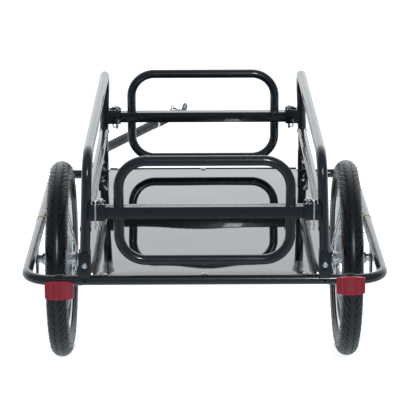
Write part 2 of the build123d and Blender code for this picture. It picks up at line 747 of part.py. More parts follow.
def hitch_fork():
    """Steel jaw on a tongue that turns on the swivel pin."""
    half = yoke_ear_inner - swivel_gap
    tongue_width = swivel_radius - swivel_gap
    tongue = box(-tongue_width, tongue_width, swivel_pin_ahead, jaw_block_start, -half, half)
    tongue += rod((0, swivel_pin_ahead, -half), (0, swivel_pin_ahead, half), tongue_width)
    block_end = jaw_block_start + jaw_block_length
    fork = tongue + box(-jaw_half_width, jaw_half_width, jaw_block_start, block_end,
                        -jaw_half_height, jaw_half_height)
    for side in (-1, 1):
        x0 = side * jaw_half_width
        x1 = side * (jaw_half_width - jaw_ear_thickness)
        fork += box(min(x0, x1), max(x0, x1), block_end, hitch_pin_ahead, -jaw_half_height, jaw_half_height)
        fork += rod((x0, hitch_pin_ahead, 0), (x1, hitch_pin_ahead, 0), jaw_half_height)
    reach = jaw_half_width + 1
    fork -= rod((-reach, hitch_pin_ahead, 0), (reach, hitch_pin_ahead, 0), hitch_pin_radius + bolt_hole_clearance)
    top = half + 1
    return at_hitch(fork - rod((0, swivel_pin_ahead, -top), (0, swivel_pin_ahead, top),
                               swivel_pin_radius + running_clearance))


def hitch_pin():
    """Cross pin of the jaw, with a split ring through its left end."""
    left = -jaw_half_width - hitch_pin_stickout
    right = jaw_half_width + hitch_pin_head_height
    pin = rod((left, hitch_pin_ahead, 0), (right, hitch_pin_ahead, 0), hitch_pin_radius)
    pin += rod((jaw_half_width, hitch_pin_ahead, 0), (right, hitch_pin_ahead, 0), hitch_pin_head_radius)
    ring_x = left + hitch_pin_stickout / 2
    pin -= rod((ring_x, hitch_pin_ahead - 9, 0), (ring_x, hitch_pin_ahead + 9, 0), ring_hole_radius)
    ring = Pos(ring_x, hitch_pin_ahead, ring_radius) * Rot(0, 90, 0) * Torus(ring_radius, ring_wire_radius)
    return [at_hitch(pin), at_hitch(ring)]


def coupler_plate():
    """Upright plate that stays on the bicycle's rear axle, with a barrel on the hitch pin."""
    half = jaw_half_width - jaw_ear_thickness - coupler_gap
    barrel = rod((-half, hitch_pin_ahead, 0), (half, hitch_pin_ahead, 0), coupler_barrel_radius)
    end = Pos(coupler_reach, coupler_rise) * Circle(coupler_end_radius)
    outline = make_hull(Circle(coupler_barrel_radius).edges() + end.edges())
    inner_face = coupler_offset - coupler_thickness / 2
    side_plane = Plane(origin=(inner_face, hitch_pin_ahead, 0), x_dir=(0, 1, 0), z_dir=(1, 0, 0))
    plate = side_plane.location * extrude(outline, coupler_thickness)
    bore_y = hitch_pin_ahead + coupler_reach
    plate -= rod((inner_face - 1, bore_y, coupler_rise), (inner_face + coupler_thickness + 1, bore_y, coupler_rise),
                 coupler_bore_radius)
    reach = half + 1
    bore = rod((-reach, hitch_pin_ahead, 0), (reach, hitch_pin_ahead, 0), hitch_pin_radius + running_clearance)
    return at_hitch(barrel + plate - bore)


# ---------------------------------------------------------------- build and write
os.makedirs("parts", exist_ok=True)

save("base_loop", base_loop())
save("inner_rails", inner_rail(), mirror_x(inner_rail()))
save("cross_tube", cross_tube())
save("deck", deck())
save("deck_bolts", *deck_bolts())
for node, tube_x in (("outer_dropouts", loop_half_width), ("inner_dropouts", rail_half_width)):
    save(node, dropout(tube_x), mirror_x(dropout(tube_x)))
nuts = axle_nuts()
save("axle_nuts", *nuts, *[mirror_x(nut) for nut in nuts])

rear_bracket = hinge_bracket()
brackets = [rear_bracket, mirror_y(rear_bracket)]
save("hinge_brackets", *brackets, *[mirror_x(bracket) for bracket in brackets])
rear_bolt = hinge_bolt()
bolts = [rear_bolt, mirror_y(rear_bolt)]
save("hinge_bolts", *bolts, *[mirror_x(bolt) for bolt in bolts])

save("rear_reflector_left", rear_reflector(-reflector_half_spacing, reflector_drop_left))
save("rear_reflector_right", rear_reflector(reflector_half_spacing, reflector_drop_right))
save("reflector_clamps", *[reflector_clamp(side * reflector_half_spacing) for side in (-1, 1)])
save("amber_bands", amber_band(), mirror_x(amber_band()))

wheel_pieces = {
    "axle": [axle()],
    "tyre": [ring_about_axle(tyre_profile())],
    "inner_tube": [inner_tube()],
    "rim": [rim()],
    "hub": [ring_about_axle(hub_profile())],
    "spokes": spokes(),
    "wheel_reflectors": wheel_reflectors(),
}
for name, solids in wheel_pieces.items():
    save(f"{name}_right", *solids)
    save(f"{name}_left", *[mirror_x(solid) for solid in solids])

rear_cradle = cradle()
cradles = [rear_cradle, mirror_y(rear_cradle)]
for name, solids in (("side_hoop", [side_hoop()]), ("mid_rail", [mid_rail()]), ("cradles", cradles)):
    save(f"{name}_right", *solids)
    save(f"{name}_left", *[mirror_x(solid) for solid in solids])

gate_pieces = {
    "crossbar": [crossbar()],
    "gate_upper_hoop": [gate_hoop(crossbar_top, gate_top)],
    "gate_lower_hoop": [gate_hoop(crossbar_bottom, gate_bottom)],
    "crossbar_caps": crossbar_caps(),
}
for name, solids in gate_pieces.items():
    save(f"rear_{name}", *solids)
    save(f"front_{name}", *[mirror_y(solid) for solid in solids])

for name, solid in (("lock_pin", lock_pin()), ("bail", bail())):
    save(f"{name}_rear_right", solid)
    save(f"{name}_rear_left", mirror_x(solid))
    save(f"{name}_front_right", mirror_y(solid))
    save(f"{name}_front_left", mirror_x(mirror_y(solid)))

save("tow_bracket", tow_bracket())
save("arm_bolt", arm_bolt())
save("tow_arm", arm_tube())
save("arm_collar", arm_collar())
save("arm_yoke", arm_yoke())
save("swivel_pin", swivel_pin())
save("hitch_fork", hitch_fork())
save("hitch_pin", *hitch_pin())
save("coupler_plate", coupler_plate())
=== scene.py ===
import math
import random

import bmesh
import bpy
from mathutils import Matrix, Vector


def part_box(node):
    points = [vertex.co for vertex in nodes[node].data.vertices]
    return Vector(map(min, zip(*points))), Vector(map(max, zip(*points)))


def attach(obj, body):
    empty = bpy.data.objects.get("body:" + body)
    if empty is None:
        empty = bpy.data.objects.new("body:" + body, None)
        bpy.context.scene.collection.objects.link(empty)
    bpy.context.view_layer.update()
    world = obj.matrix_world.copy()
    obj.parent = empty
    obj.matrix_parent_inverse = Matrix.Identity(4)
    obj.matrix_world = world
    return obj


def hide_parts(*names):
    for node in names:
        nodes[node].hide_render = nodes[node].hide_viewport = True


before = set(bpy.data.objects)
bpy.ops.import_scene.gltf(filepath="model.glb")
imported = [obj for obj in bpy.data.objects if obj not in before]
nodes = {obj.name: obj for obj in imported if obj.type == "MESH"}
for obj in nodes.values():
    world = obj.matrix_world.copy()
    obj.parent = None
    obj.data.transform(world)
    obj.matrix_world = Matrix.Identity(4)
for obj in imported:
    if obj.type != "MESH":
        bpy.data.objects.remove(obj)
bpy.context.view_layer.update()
scene = bpy.context.scene

# ---------------------------------------------------------------- places read from the frame
MM = 0.001
TUBE_RADIUS = 9.5                    # every frame tube, millimetres
TUBE = TUBE_RADIUS * MM
SIDES = {"left": -1, "right": 1}
ENDS = {"rear": -1, "front": 1}
loop_low, loop_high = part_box("base_loop")
rear_y = loop_low.y + TUBE
front_y = loop_high.y - TUBE
end_y = {"rear": rear_y, "front": front_y}
loop_z = (loop_low.z + loop_high.z) / 2


def middle_of(node):
    low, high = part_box(node)
    return (low + high) / 2


# ---------------------------------------------------------------- shader groups
def new_group(name, inputs, outputs):
    """Empty node group with its sockets: its tree, input node and output node."""
    tree = bpy.data.node_groups.new(name, "ShaderNodeTree")
    for label, kind, value in inputs:
        socket = tree.interface.new_socket(name=label, in_out="INPUT", socket_type=kind)
        socket.default_value = value
    for label, kind in outputs:
        tree.interface.new_socket(name=label, in_out="OUTPUT", socket_type=kind)
    return tree, tree.nodes.new("NodeGroupInput"), tree.nodes.new("NodeGroupOutput")


def plug(tree, socket, value):
    """Link an input to another socket, or set it to a plain value."""
    if isinstance(value, bpy.types.NodeSocket):
        tree.links.new(value, socket)
    else:
        socket.default_value = value


def set_inputs(tree, node, inputs):
    """Plug inputs by name; an underscore in a name stands for a space."""
    for label, value in inputs.items():
        plug(tree, node.inputs[label.replace("_", " ")], value)
    return node


def add_node(tree, kind, **inputs):
    return set_inputs(tree, tree.nodes.new(kind), inputs)


def add_group(tree, name, **inputs):
    node = tree.nodes.new("ShaderNodeGroup")
    node.node_tree = bpy.data.node_groups[name]
    return set_inputs(tree, node, inputs)


def add_operation(tree, kind, operation, *values):
    node = tree.nodes.new(kind)
    node.operation = operation
    for socket, value in zip(node.inputs, values):
        plug(tree, socket, value)
    return node


def add_math(tree, operation, first, second=0.0):
    return add_operation(tree, "ShaderNodeMath", operation, first, second).outputs["Value"]


def ramp(tree, value, start, end, low=0.0, high=1.0):
    """Goes from low to high while the value goes from start to end, and no further."""
    node = add_node(tree, "ShaderNodeMapRange", Value=value, From_Min=start, From_Max=end,
                    To_Min=low, To_Max=high)
    return node.outputs["Result"]


def object_place(tree):
    return tree.nodes.new("ShaderNodeTexCoord").outputs["Object"]


def build_grain_group():
    """Small even bumps, such as powder coat's orange peel or moulded plastic's grain."""
    tree, given, result = new_group(
        "grain", [("Scale", "NodeSocketFloat", 900.0), ("Height", "NodeSocketFloat", 0.00002)],
        [("Normal", "NodeSocketVector")])
    noise = add_node(tree, "ShaderNodeTexNoise", Vector=object_place(tree),
                     Scale=given.outputs["Scale"], Detail=2.0, Roughness=0.55)
    bump = add_node(tree, "ShaderNodeBump", Strength=1.0, Distance=given.outputs["Height"],
                    Height=noise.outputs["Fac"])
    set_inputs(tree, result, {"Normal": bump.outputs["Normal"]})


def build_mottle_group():
    """Uneven shade of one colour, as plating and rubber have."""
    tree, given, result = new_group(
        "mottle", [("Color", "NodeSocketColor", (0.5, 0.5, 0.5, 1.0)),
                   ("Amount", "NodeSocketFloat", 0.1), ("Scale", "NodeSocketFloat", 30.0)],
        [("Color", "NodeSocketColor")])
    noise = add_node(tree, "ShaderNodeTexNoise", Vector=object_place(tree),
                     Scale=given.outputs["Scale"], Detail=5.0, Roughness=0.6)
    centred = add_math(tree, "SUBTRACT", noise.outputs["Fac"], 0.5)
    swing = add_math(tree, "MULTIPLY", centred, given.outputs["Amount"])
    shade = add_node(tree, "ShaderNodeHueSaturation", Value=add_math(tree, "ADD", swing, 1.0),
                     Color=given.outputs["Color"])
    set_inputs(tree, result, {"Color": shade.outputs["Color"]})


def build_rub_group():
    """Roughness that changes a little from place to place, with fine handling scuffs."""
    tree, given, result = new_group(
        "rub", [("Low", "NodeSocketFloat", 0.2), ("High", "NodeSocketFloat", 0.3),
                ("Scale", "NodeSocketFloat", 60.0), ("Scuffs", "NodeSocketFloat", 0.05)],
        [("Value", "NodeSocketFloat")])
    place = object_place(tree)
    cloud = add_node(tree, "ShaderNodeTexNoise", Vector=place, Scale=given.outputs["Scale"],
                     Detail=4.0)
    level = ramp(tree, cloud.outputs["Fac"], 0.3, 0.7, given.outputs["Low"], given.outputs["High"])
    stretched = add_node(tree, "ShaderNodeMapping", Vector=place, Rotation=(0.3, 0.5, 0.9),
                         Scale=(40.0, 900.0, 700.0))
    lines = add_node(tree, "ShaderNodeTexNoise", Vector=stretched.outputs["Vector"], Scale=1.0,
                     Detail=2.0)
    mask = ramp(tree, lines.outputs["Fac"], 0.68, 0.74)
    scuffs = add_math(tree, "MULTIPLY", mask, given.outputs["Scuffs"])
    set_inputs(tree, result, {"Value": add_math(tree, "ADD", level, scuffs)})


def build_turned_group():
    """Fine rings round the X axis through a centre, as a lathe or a polishing wheel leaves."""
    tree, given, result = new_group(
        "turned", [("Centre", "NodeSocketVector", (0.0, 0.0, 0.0)),
                   ("Height", "NodeSocketFloat", 0.00001)],
        [("Normal", "NodeSocketVector"), ("Value", "NodeSocketFloat")])
    kind = "ShaderNodeVectorMath"
    offset = add_operation(tree, kind, "SUBTRACT", object_place(tree), given.outputs["Centre"])
    flat = add_operation(tree, kind, "MULTIPLY", offset.outputs["Vector"], (0.0, 1.0, 1.0))
    length = add_operation(tree, kind, "LENGTH", flat.outputs["Vector"])
    along = add_node(tree, "ShaderNodeSeparateXYZ", Vector=offset.outputs["Vector"])
    ring = add_node(tree, "ShaderNodeCombineXYZ", X=length.outputs["Value"], Y=along.outputs["X"])
    noise = add_node(tree, "ShaderNodeTexNoise", Vector=ring.outputs["Vector"], Scale=2600.0,
                     Detail=2.0)
    bump = add_node(tree, "ShaderNodeBump", Strength=1.0, Distance=given.outputs["Height"],
                    Height=noise.outputs["Fac"])
    set_inputs(tree, result, {"Normal": bump.outputs["Normal"], "Value": noise.outputs["Fac"]})


build_grain_group()
build_mottle_group()
build_rub_group()
build_turned_group()


# ---------------------------------------------------------------- materials
def make_material(name, colour, roughness, metallic=0.0, ior=1.5, coat=0.0, coat_roughness=0.05,
                  grain_scale=900.0, grain_height=0.02, mottle=0.15, mottle_scale=30.0,
                  rub=0.2, scuffs=0.04):
    """Grain height in millimetres; rub is how far roughness strays, as a share of itself."""
    material = bpy.data.materials.new(name)
    material.use_nodes = True
    tree = material.node_tree
    tint = add_group(tree, "mottle", Color=(*colour, 1.0), Amount=mottle, Scale=mottle_scale)
    rubbed = add_group(tree, "rub", Low=roughness * (1 - rub), High=roughness * (1 + rub),
                       Scale=mottle_scale * 2, Scuffs=scuffs)
    grain = add_group(tree, "grain", Scale=grain_scale, Height=grain_height * MM)
    set_inputs(tree, tree.nodes["Principled BSDF"], {
        "Base_Color": tint.outputs["Color"], "Roughness": rubbed.outputs["Value"],
        "Normal": grain.outputs["Normal"], "Metallic": metallic, "IOR": ior,
        "Coat_Weight": coat, "Coat_Roughness": coat_roughness})
    return material


def rim_material(side_name):
    """Polished alloy with turning marks round that wheel's own axle."""
    material = bpy.data.materials.new(f"polished_rim_{side_name}")
    material.use_nodes = True
    tree = material.node_tree
    marks = add_group(tree, "turned", Centre=middle_of(f"hub_{side_name}"), Height=0.004 * MM)
    level = ramp(tree, marks.outputs["Value"], 0.3, 0.7, 0.18, 0.3)
    tint = add_group(tree, "mottle", Color=(0.87, 0.89, 0.91, 1.0), Amount=0.08, Scale=22.0)
    set_inputs(tree, tree.nodes["Principled BSDF"], {
        "Base_Color": tint.outputs["Color"], "Roughness": level,
        "Normal": marks.outputs["Normal"], "Metallic": 1.0})
    return material


def lens_material(name, colour, cell):
    """Moulded reflector plastic: a clear satin skin over cells of a size in millimetres, with painted
    light in each cell: its colour is brighter at the middle and darker at the edges.
    """
    material = bpy.data.materials.new(name)
    material.use_nodes = True
    tree = material.node_tree
    cells = add_node(tree, "ShaderNodeTexVoronoi", Vector=object_place(tree),
                     Scale=1 / (cell * MM))
    # Painted highlight and shade: each cell's colour is lifted to 1.25 at its middle and dropped to
    # 0.75 towards its edges.
    shade = ramp(tree, cells.outputs["Distance"], 0.0, 0.8, 1.25, 0.75)
    tint = add_group(tree, "mottle", Color=(*colour, 1.0), Amount=0.25, Scale=90.0)
    painted_cell_light = add_node(tree, "ShaderNodeHueSaturation", Value=shade, Color=tint.outputs["Color"])
    bump = add_node(tree, "ShaderNodeBump", Strength=0.6, Distance=0.2 * MM,
                    Height=cells.outputs["Distance"])
    set_inputs(tree, tree.nodes["Principled BSDF"], {
        "Base_Color": painted_cell_light.outputs["Color"], "Roughness": 0.35, "Normal": bump.outputs["Normal"],
        "IOR": 1.49, "Coat_Weight": 0.4, "Coat_Roughness": 0.22})
    return material


frame_paint = make_material("gloss_black_powder_coat", (0.010, 0.0155, 0.022), 0.24, coat=0.8,
                            coat_roughness=0.04, grain_scale=420.0, grain_height=0.003, mottle=0.3)
plate_paint = make_material("gloss_black_plate_paint", (0.008, 0.012, 0.017), 0.26, coat=0.6,
                            coat_roughness=0.05, grain_scale=420.0, grain_height=0.012, mottle=0.3)
arm_paint = make_material("satin_black_paint", (0.010, 0.012, 0.015), 0.48, grain_scale=800.0,
                          grain_height=0.03, mottle=0.2)
deck_paint = make_material("high_gloss_black_sheet", (0.006, 0.007, 0.009), 0.03, coat=1.0,
                           coat_roughness=0.012, grain_scale=60.0, grain_height=0.002, mottle=0.3,
                           mottle_scale=8.0, scuffs=0.03)
casting = make_material("black_cast_steel", (0.02, 0.022, 0.026), 0.4, ior=1.6, grain_scale=900.0,
                        grain_height=0.12, mottle=0.3, scuffs=0.1)
zinc = make_material("bright_zinc_plate", (0.86, 0.88, 0.89), 0.3, metallic=1.0, grain_scale=1500.0,
                     grain_height=0.01, mottle=0.25, mottle_scale=120.0)
dark_zinc = make_material("dark_zinc_plate", (0.34, 0.35, 0.37), 0.26, metallic=1.0, grain_scale=1500.0,
                          grain_height=0.01, mottle=0.3, mottle_scale=120.0)
chrome = make_material("chrome_plate", (0.86, 0.88, 0.90), 0.2, metallic=1.0, grain_scale=400.0,
                       grain_height=0.004, mottle=0.08, scuffs=0.08)
spoke_steel = make_material("bright_spoke_steel", (0.80, 0.82, 0.83), 0.2, metallic=1.0,
                            grain_scale=2500.0, grain_height=0.004, mottle=0.12)
rubber = make_material("tyre_rubber", (0.016, 0.0185, 0.022), 0.26, ior=1.55, grain_scale=1400.0,
                       grain_height=0.04, mottle=0.35, mottle_scale=45.0, scuffs=0.12)
tube_rubber = make_material("butyl_rubber", (0.04, 0.04, 0.04), 0.55, grain_height=0.03)
plastic = make_material("moulded_black_plastic", (0.012, 0.014, 0.017), 0.36, ior=1.46,
                        grain_scale=1800.0, grain_height=0.05)
ribbed_rubber = make_material("ribbed_black_rubber", (0.010, 0.011, 0.013), 0.3, grain_scale=1200.0,
                              grain_height=0.05, mottle=0.3)
# The case and the prisms are one red plastic: the prisms get a darker copy of its red as painted shade,
# so the strips of case between the prism fields read as bright red lines.
red_lens = lens_material("red_reflector_lens", (0.88, 0.02, 0.045), 2.2)
red_prism_painted_shade = lens_material("red_reflector_prisms_painted_shade", (0.5, 0.02, 0.045), 1.6)
amber_lens = lens_material("amber_reflector_lens", (0.85, 0.22, 0.02), 2.0)
amber_film = lens_material("amber_reflective_film", (0.90, 0.62, 0.12), 1.4)
rim_alloy = {name: rim_material(name) for name in SIDES}


# ---------------------------------------------------------------- mesh helpers
def turned(profile, steps=24):
    """Profile points (along, radius) in millimetres spun round the X axis."""
    part = bmesh.new()
    row = [part.verts.new((along * MM, radius * MM, 0)) for along, radius in profile]
    for pair in zip(row, row[1:]):
        part.edges.new(pair)
    bmesh.ops.spin(part, geom=part.verts[:] + part.edges[:], axis=(1, 0, 0), cent=(0, 0, 0),
                   angle=math.tau, steps=steps, use_merge=True)
    bmesh.ops.remove_doubles(part, verts=part.verts, dist=1e-7)
    bmesh.ops.recalc_face_normals(part, faces=part.faces)
    return part


def block(size, edge=0.0, segments=2):
    """Rounded box of a size in millimetres about the origin."""
    part = bmesh.new()
    bmesh.ops.create_cube(part, size=MM)
    bmesh.ops.scale(part, vec=size, verts=part.verts)
    if edge:
        round_edges(part, part.edges[:], edge, segments)
    return part


def round_edges(part, edges, width, segments=2):
    bmesh.ops.bevel(part, geom=edges, offset=width * MM, offset_type="OFFSET", segments=segments,
                    profile=0.5, affect="EDGES", material=-1, clamp_overlap=True)


def along_x(edge):
    """How nearly an edge runs along X, from 0 to 1."""
    return abs((edge.verts[0].co - edge.verts[1].co).normalized().x)


def slice_mesh(part, place, normal):
    """New edges where a plane passes through a mesh."""
    bmesh.ops.bisect_plane(part, geom=part.verts[:] + part.edges[:] + part.faces[:],
                           plane_co=place, plane_no=normal, dist=1e-7)


def hexagon(radius, height):
    """Six sided nut body along X from 0, with rounded edges."""
    part = bmesh.new()
    bmesh.ops.create_cone(part, cap_ends=True, segments=6, radius1=radius * MM, radius2=radius * MM,
                          depth=height * MM)
    round_edges(part, part.edges[:], min(radius, height) * 0.09)
    bmesh.ops.rotate(part, verts=part.verts, matrix=Matrix.Rotation(math.pi / 2, 3, "Y"))
    bmesh.ops.translate(part, verts=part.verts, vec=(height * MM / 2, 0, 0))
    return part


def facing(place, direction):
    """Matrix that sends X along a direction and the origin to a place."""
    turn = Vector(direction).to_track_quat("X", "Z").to_matrix().to_4x4()
    return Matrix.Translation(place) @ turn


def add(target, part, place=Matrix()):
    """Copy one bmesh into another, moved into place."""
    mesh = bpy.data.meshes.new("part")
    part.to_mesh(mesh)
    mesh.transform(place)
    if place.determinant() < 0:
        mesh.flip_normals()
    target.from_mesh(mesh)
    bpy.data.meshes.remove(mesh)


def finish_piece(name, part, material, body, replaces=(), sharp=35.0):
    """Turn a bmesh into a piece that rides on a body."""
    mesh = bpy.data.meshes.new(name)
    part.to_mesh(mesh)
    part.free()
    mesh.shade_smooth()
    mesh.set_sharp_from_angle(angle=math.radians(sharp))
    mesh.materials.append(material)
    piece = bpy.data.objects.new(name, mesh)
    scene.collection.objects.link(piece)
    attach(piece, body)
    if replaces:
        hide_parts(*replaces)
    return piece


def paint_node(node, material):
    for slot in nodes[node].material_slots:
        slot.material = material


def soften_node(node, material, body, width):
    """Copy of a CAD piece with its sharp edges rounded."""
    part = bmesh.new()
    part.from_mesh(nodes[node].data)
    bmesh.ops.remove_doubles(part, verts=part.verts, dist=1e-6)
    bmesh.ops.dissolve_limit(part, angle_limit=math.radians(0.5), use_dissolve_boundaries=False,
                             verts=part.verts, edges=part.edges)
    sharp = [edge for edge in part.edges
             if len(edge.link_faces) == 2 and edge.calc_face_angle() > math.radians(50)]
    round_edges(part, sharp, width)
    return finish_piece(f"{node}_softened", part, material, body, (node,))


# ---------------------------------------------------------------- wheels
TYRE_STEPS = 360
TREAD_REPEAT = 10                    # steps from one group of grooves to the next
GROOVES = {0: 13, 3: 38, 5: 22, 8: 46}   # step in its group: degrees from the crown to its start
GROOVE_END = 68                      # degrees from the crown
GROOVE_WALL = 0.4                    # millimetres
GROOVE_DEPTH = 1.7
OUTER_SKIN = 19                      # the tread is further than this from the section's centre
RIB_EDGE = 7                         # degrees from the crown to the smooth rib's edge
SWEEP_REACH = 63                     # degrees over which the grooves lean round the wheel
TREAD_SWEEP = 0.17                   # radians that they lean in all
HAIR_COUNT = 96                      # moulding hairs left on the shoulders
CASING = 3.7                         # tyre wall, millimetres
HUB_FLANGE = 28.0                    # millimetres from the wheel's middle
SPOKE_CIRCLE = 19.8                  # radius of the spoke holes in a flange
SPOKE_COUNT = 20
SPOKE_SWEEP = math.radians(34)
RIM_DEPTH = 15.0
REFLECTOR_ANGLES = (8.0, 188.0)      # degrees round the wheel
REFLECTOR_RADIUS = 97.0              # from the axle to a spoke reflector's middle
wheel_low, wheel_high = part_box("tyre_right")
wheel_radius = (wheel_high.z - wheel_low.z) / 2 / MM
tyre_half_width = (wheel_high.x - wheel_low.x) / 2 / MM
section_centre = wheel_radius - tyre_half_width
rim_low, rim_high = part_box("rim_right")
rim_edge = (rim_high.z - rim_low.z) / 2 / MM
rim_inner = rim_edge - RIM_DEPTH


def wheel_place(side_name):
    """Matrix from the right wheel's own frame to either wheel."""
    centre = middle_of(f"hub_{side_name}")
    return Matrix.Translation(centre) @ Matrix.Scale(SIDES[side_name], 4, (1, 0, 0))


def finish_on_wheel(name, part, side_name, material, replaced, sharp=35.0):
    """Move a piece made about the right wheel's axle onto either wheel."""
    placed = bmesh.new()
    add(placed, part, wheel_place(side_name))
    part.free()
    return finish_piece(f"{name}_{side_name}", placed, material, f"wheel_{side_name}",
                        (f"{replaced}_{side_name}",), sharp)


def tyre_profile():
    """Tread with a smooth middle rib, a groove each side of it, shoulders and two sidewall ribs."""
    reach = tyre_half_width - 0.05
    half = [(0, 0.0), (RIB_EDGE, 0.0), (13, -0.1), (14, -1.2), (16, -1.2), (17, -0.1), (27, -0.1),
            (38, -0.1), (49, -0.1), (58, -0.15), (64, -0.5), (68, -1.4), (76, -1.3), (86, -1.1),
            (92, -0.5), (96, -0.5), (102, -1.1), (112, -1.1), (116, -0.6), (119, -0.6),
            (124, -1.2), (134, -1.0), (138, -0.3), (143, -0.3), (145.5, -1.0)]
    outer = [(-angle, drop) for angle, drop in reversed(half[1:])] + half
    inner = [(angle, -CASING) for angle in range(138, -139, -23)]
    points = []
    for angle, drop in outer + inner:
        turn = math.radians(angle)
        radius = reach + drop
        points.append((radius * math.sin(turn), section_centre + radius * math.cos(turn)))
    return points + points[:1]


def tread_angle(place):
    """Angle round the tyre's section from the crown, in degrees, and distance from its centre."""
    radius = math.hypot(place.y, place.z) / MM - section_centre
    return math.degrees(math.atan2(place.x / MM, radius)), math.hypot(place.x / MM, radius)


def make_tyre(side_name):
    """Tyre with slanted grooves sunk in its tread and moulding hairs on its shoulders."""
    part = turned(tyre_profile(), TYRE_STEPS)
    grooves = []
    for face in part.faces:
        centre = face.calc_center_median()
        angle, depth = tread_angle(centre)
        step = int(math.atan2(centre.z, centre.y) % math.tau / math.tau * TYRE_STEPS)
        start = GROOVES.get(step % TREAD_REPEAT, GROOVE_END)
        if start < abs(angle) < GROOVE_END and depth > OUTER_SKIN:
            grooves.append(face)
    for vert in part.verts:
        angle = abs(tread_angle(vert.co)[0])
        share = min(max(angle - RIB_EDGE, 0), SWEEP_REACH) / SWEEP_REACH
        vert.co = Matrix.Rotation(-share ** 0.8 * TREAD_SWEEP, 3, "X") @ vert.co
    bmesh.ops.inset_region(part, faces=grooves, thickness=GROOVE_WALL * MM,
                           depth=-GROOVE_DEPTH * MM, use_boundary=True, use_even_offset=True)
    draw = random.Random(7)
    for index in range(HAIR_COUNT):
        turn = math.tau * (index + draw.uniform(-0.3, 0.3)) / HAIR_COUNT
        side = 1 if index % 2 else -1
        angle = math.radians(draw.uniform(62, 82)) * side
        out = Vector((math.sin(angle), math.cos(angle), 0))
        root = Vector((0, section_centre, 0)) * MM + out * (tyre_half_width - 1.6) * MM
        length = draw.uniform(3.0, 5.6) * MM
        stand = Matrix.Rotation(turn, 4, "X") @ Matrix.Translation(root + out * length / 2)
        tilt = out.to_track_quat("Z", "X").to_matrix().to_4x4()
        bmesh.ops.create_cone(part, cap_ends=True, segments=5, radius1=0.55 * MM, radius2=0.35 * MM,
                              depth=length, matrix=stand @ tilt)
    return finish_on_wheel("tread", part, side_name, rubber, "tyre", sharp=28)


def make_rim(side_name):
    """Hooked alloy section with an eyelet at every spoke."""
    edge, inner = rim_edge, rim_inner
    half = [(0, inner), (6.5, inner + 0.2), (9.6, inner + 1.4), (11.4, inner + 3.8),
            (11.9, inner + 6.5), (11.4, inner + 7.2), (11.9, inner + 8.0), (11.9, edge - 1.0),
            (11.4, edge - 0.1), (10.6, edge - 0.1), (9.7, edge - 1.1), (10.2, edge - 3.4),
            (9.8, inner + 6.0), (6.5, inner + 3.6)]
    profile = half + [(-x, radius) for x, radius in reversed(half[1:])] + half[:1]
    part = turned(profile, 180)
    eyelet = turned([(-0.8, 3.4), (0.3, 3.3), (0.8, 2.9), (0.7, 2.4), (-0.8, 2.3), (-0.8, 3.4)], 16)
    for index in range(SPOKE_COUNT):
        angle = math.tau * index / SPOKE_COUNT
        inwards = Vector((0, -math.cos(angle), -math.sin(angle)))
        add(part, eyelet, facing(-inwards * inner * MM, inwards))
    return finish_on_wheel("rim_hooked", part, side_name, rim_alloy[side_name], "rim")


def make_spokes(side_name):
    """Spokes from their heads on the hub flanges to their nipples in the rim."""
    part = bmesh.new()
    nipple = turned([(-2.5, 0), (-2.5, 2.3), (0.4, 2.3), (1.2, 1.9), (6, 1.75), (12, 1.6),
                     (12.6, 1.2), (12.6, 0)], 10)
    head = turned([(0, 2.0), (0.7, 1.8), (1.3, 1.0), (1.5, 0)], 10)
    for index in range(SPOKE_COUNT):
        side = 1 if index % 2 == 0 else -1
        lean_way = 1 if (index // 2) % 2 == 0 else -1
        rim_angle = math.tau * index / SPOKE_COUNT
        hub_angle = rim_angle + lean_way * SPOKE_SWEEP
        outward = Vector((side, 0, 0))
        hole = Vector((side * (HUB_FLANGE + 1.7), SPOKE_CIRCLE * math.cos(hub_angle),
                       SPOKE_CIRCLE * math.sin(hub_angle))) * MM
        start = hole + outward * 0.9 * MM
        end = Vector((0, math.cos(rim_angle), math.sin(rim_angle))) * rim_inner * MM
        length = (end - start).length / MM
        wire = turned([(-1.0, 0), (-0.7, 0.8), (0, 1.05), (25, 1.0), (length, 1.0)], 10)
        add(part, wire, facing(start, end - start))
        wire.free()
        add(part, nipple, facing(end, start - end))
        add(part, head, facing(hole, outward))
    return finish_on_wheel("spoke_set", part, side_name, spoke_steel, "spokes")


def make_hub(side_name):
    """Turned shell with two flanges, dust covers and an oiler."""
    profile = [(39, 8.3), (39, 11.2), (38.2, 12.4), (36.5, 13), (31.5, 13.2), (30.6, 15.5),
               (29.7, 22.2), (29.1, 22.9), (27.4, 22.9), (26.7, 22.2), (25.6, 15.5), (23.5, 13.4),
               (18, 12.2), (0, 11.6)]
    profile += [(-x, radius) for x, radius in reversed(profile[:-1])]
    part = turned(profile + [(-36, 8.3), (36, 8.3), (39, 8.3)], 64)
    oiler = turned([(0, 3.2), (1.0, 3.0), (1.6, 2.0), (1.8, 0)], 14)
    add(part, oiler, facing(Vector((0, 0, 11.4 * MM)), (0, 0, 1)))
    cover = turned([(0, 11.6), (1.1, 11.2), (1.6, 9.8), (1.2, 8.4)], 40)
    for side in (-1, 1):
        add(part, cover, facing(Vector((side * 38.6 * MM, 0, 0)), (side, 0, 0)))
    return finish_on_wheel("hub_shell", part, side_name, chrome, "hub")


def prism_field(width, height, cells_wide, cells_high, relief):
    """Rows of small pyramids in the XY plane, facing +Z."""
    part = bmesh.new()
    bmesh.ops.create_grid(part, x_segments=cells_wide, y_segments=cells_high, size=0.5)
    bmesh.ops.scale(part, vec=(width * MM, height * MM, 1), verts=part.verts)
    bmesh.ops.poke(part, faces=part.faces[:], offset=relief * MM)
    return part


